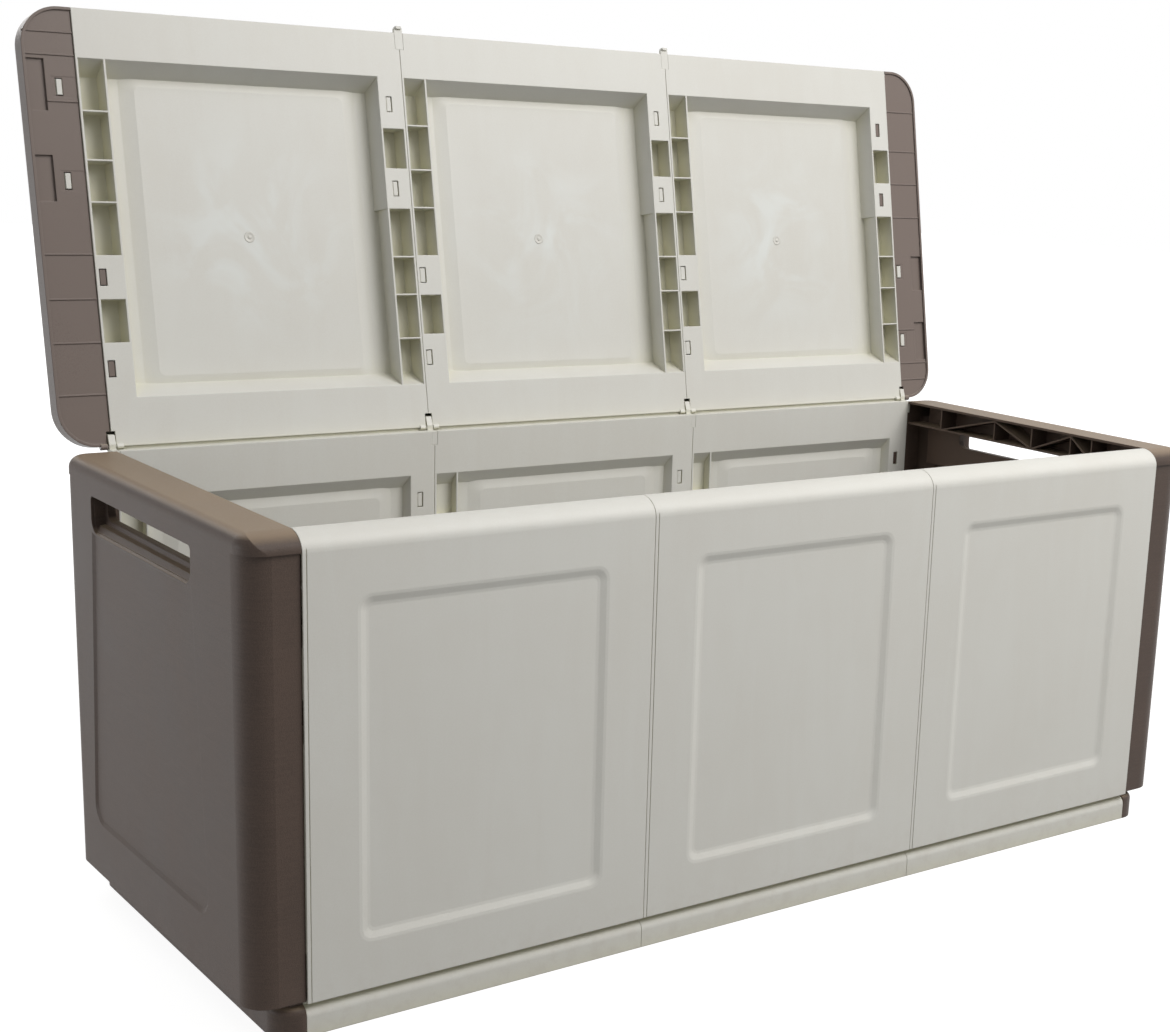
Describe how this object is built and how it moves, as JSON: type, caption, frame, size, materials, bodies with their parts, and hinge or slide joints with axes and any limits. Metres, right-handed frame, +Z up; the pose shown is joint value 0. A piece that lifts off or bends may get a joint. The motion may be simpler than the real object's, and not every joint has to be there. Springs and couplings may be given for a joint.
{
  "type": "storage bench",
  "caption": "Long lidded storage bench of clipped moulded panels, with contrasting hollow ends, a carrying grip in each end and one hinged lid.",
  "frame": {"origin": "centre of the base's footprint, on the floor", "axes": "+X along the bench to the viewer's right when facing its front, +Y to the back (the hinge side), +Z up; the front faces -Y; the lid is stored open against its stops"},
  "size_m": [1.38, 0.6467, 1.0525],
  "materials": {
    "wall_shell": "ivory polypropylene, finely grained, satin",
    "lid_shell": "ivory polypropylene, smooth inside, finely grained outside",
    "base_shell": "ivory polypropylene, satin",
    "end_shell": "taupe polypropylene with a fine leather-like grain",
    "lid_cap": "taupe polypropylene, smooth inside, grained outside",
    "fitting": "ivory moulded plastic fittings",
    "hinge_pin": "plain zinc-plated pin, out of sight"
  },
  "bodies": {
    "chest": {"front_panel_left": "wall_shell", "front_panel_centre": "wall_shell", "front_panel_right": "wall_shell", "back_panel_left": "wall_shell", "back_panel_centre": "wall_shell", "back_panel_right": "wall_shell", "floor_panel_left": "base_shell", "floor_panel_centre": "base_shell", "floor_panel_right": "base_shell", "end_panel_left": "end_shell", "end_panel_right": "end_shell", "end_frame_left": "end_shell", "end_frame_right": "end_shell", "base_end_left": "end_shell", "base_end_right": "end_shell", "hinge_arm_1": "fitting", "hinge_arm_2": "fitting", "hinge_arm_3": "fitting", "hinge_arm_4": "fitting"},
    "lid": {"lid_panel_left": "lid_shell", "lid_panel_centre": "lid_shell", "lid_panel_right": "lid_shell", "lid_end_left": "lid_cap", "lid_end_right": "lid_cap", "lid_catch_left": "fitting", "lid_catch_right": "fitting", "hinge_pin_1": "hinge_pin", "hinge_pin_2": "hinge_pin", "hinge_pin_3": "hinge_pin", "hinge_pin_4": "hinge_pin"}
  },
  "joints": [
    {"name": "lid_hinge", "type": "hinge", "parent": "chest", "child": "lid", "pos_m": [0, 0.266, 0.541], "axis": [1, 0, 0], "range_deg": [0, 100]}
  ]
}
